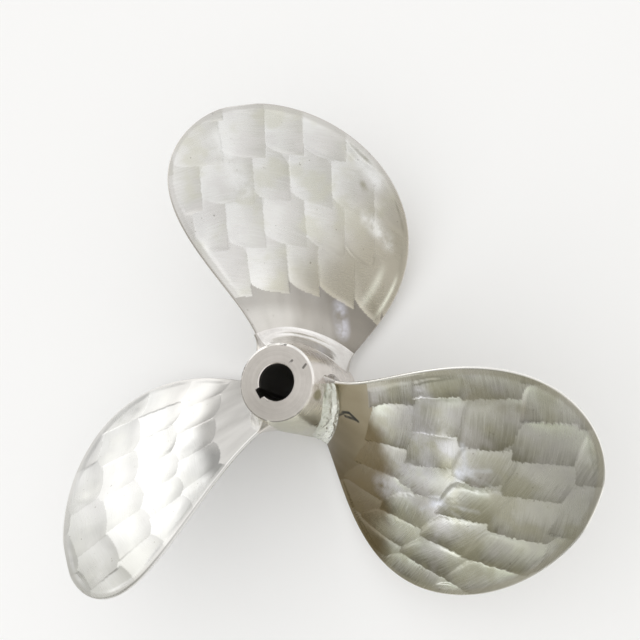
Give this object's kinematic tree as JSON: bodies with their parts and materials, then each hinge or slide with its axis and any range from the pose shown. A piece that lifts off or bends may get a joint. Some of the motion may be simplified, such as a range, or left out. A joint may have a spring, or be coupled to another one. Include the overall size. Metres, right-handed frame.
{
  "type": "ship propeller",
  "caption": "Right-handed fixed-pitch ship propeller: raked blades with hand-ground faces, welded to a short hub with a tapered, keyed bore.",
  "frame": {"origin": "centre of gravity of the propeller, on the shaft axis", "axes": "+Z along the shaft axis, pointing aft to the nut end; +Y along the line of the first blade; the blades follow each other at a third of a turn"},
  "size_m": [0.5964, 0.5846, 0.1922],
  "materials": {
    "machined_hub": "turned and wiped over with an abrasive pad, satin",
    "ground_blade": "ground by hand in overlapping hollows, then brushed",
    "root_weld": "weld runs dressed by hand, semi-bright"
  },
  "bodies": {
    "root": {"hub": "machined_hub", "blade_1": "ground_blade", "blade_2": "ground_blade", "blade_3": "ground_blade", "root_weld_1": "root_weld", "root_weld_2": "root_weld", "root_weld_3": "root_weld"}
  },
  "joints": []
}
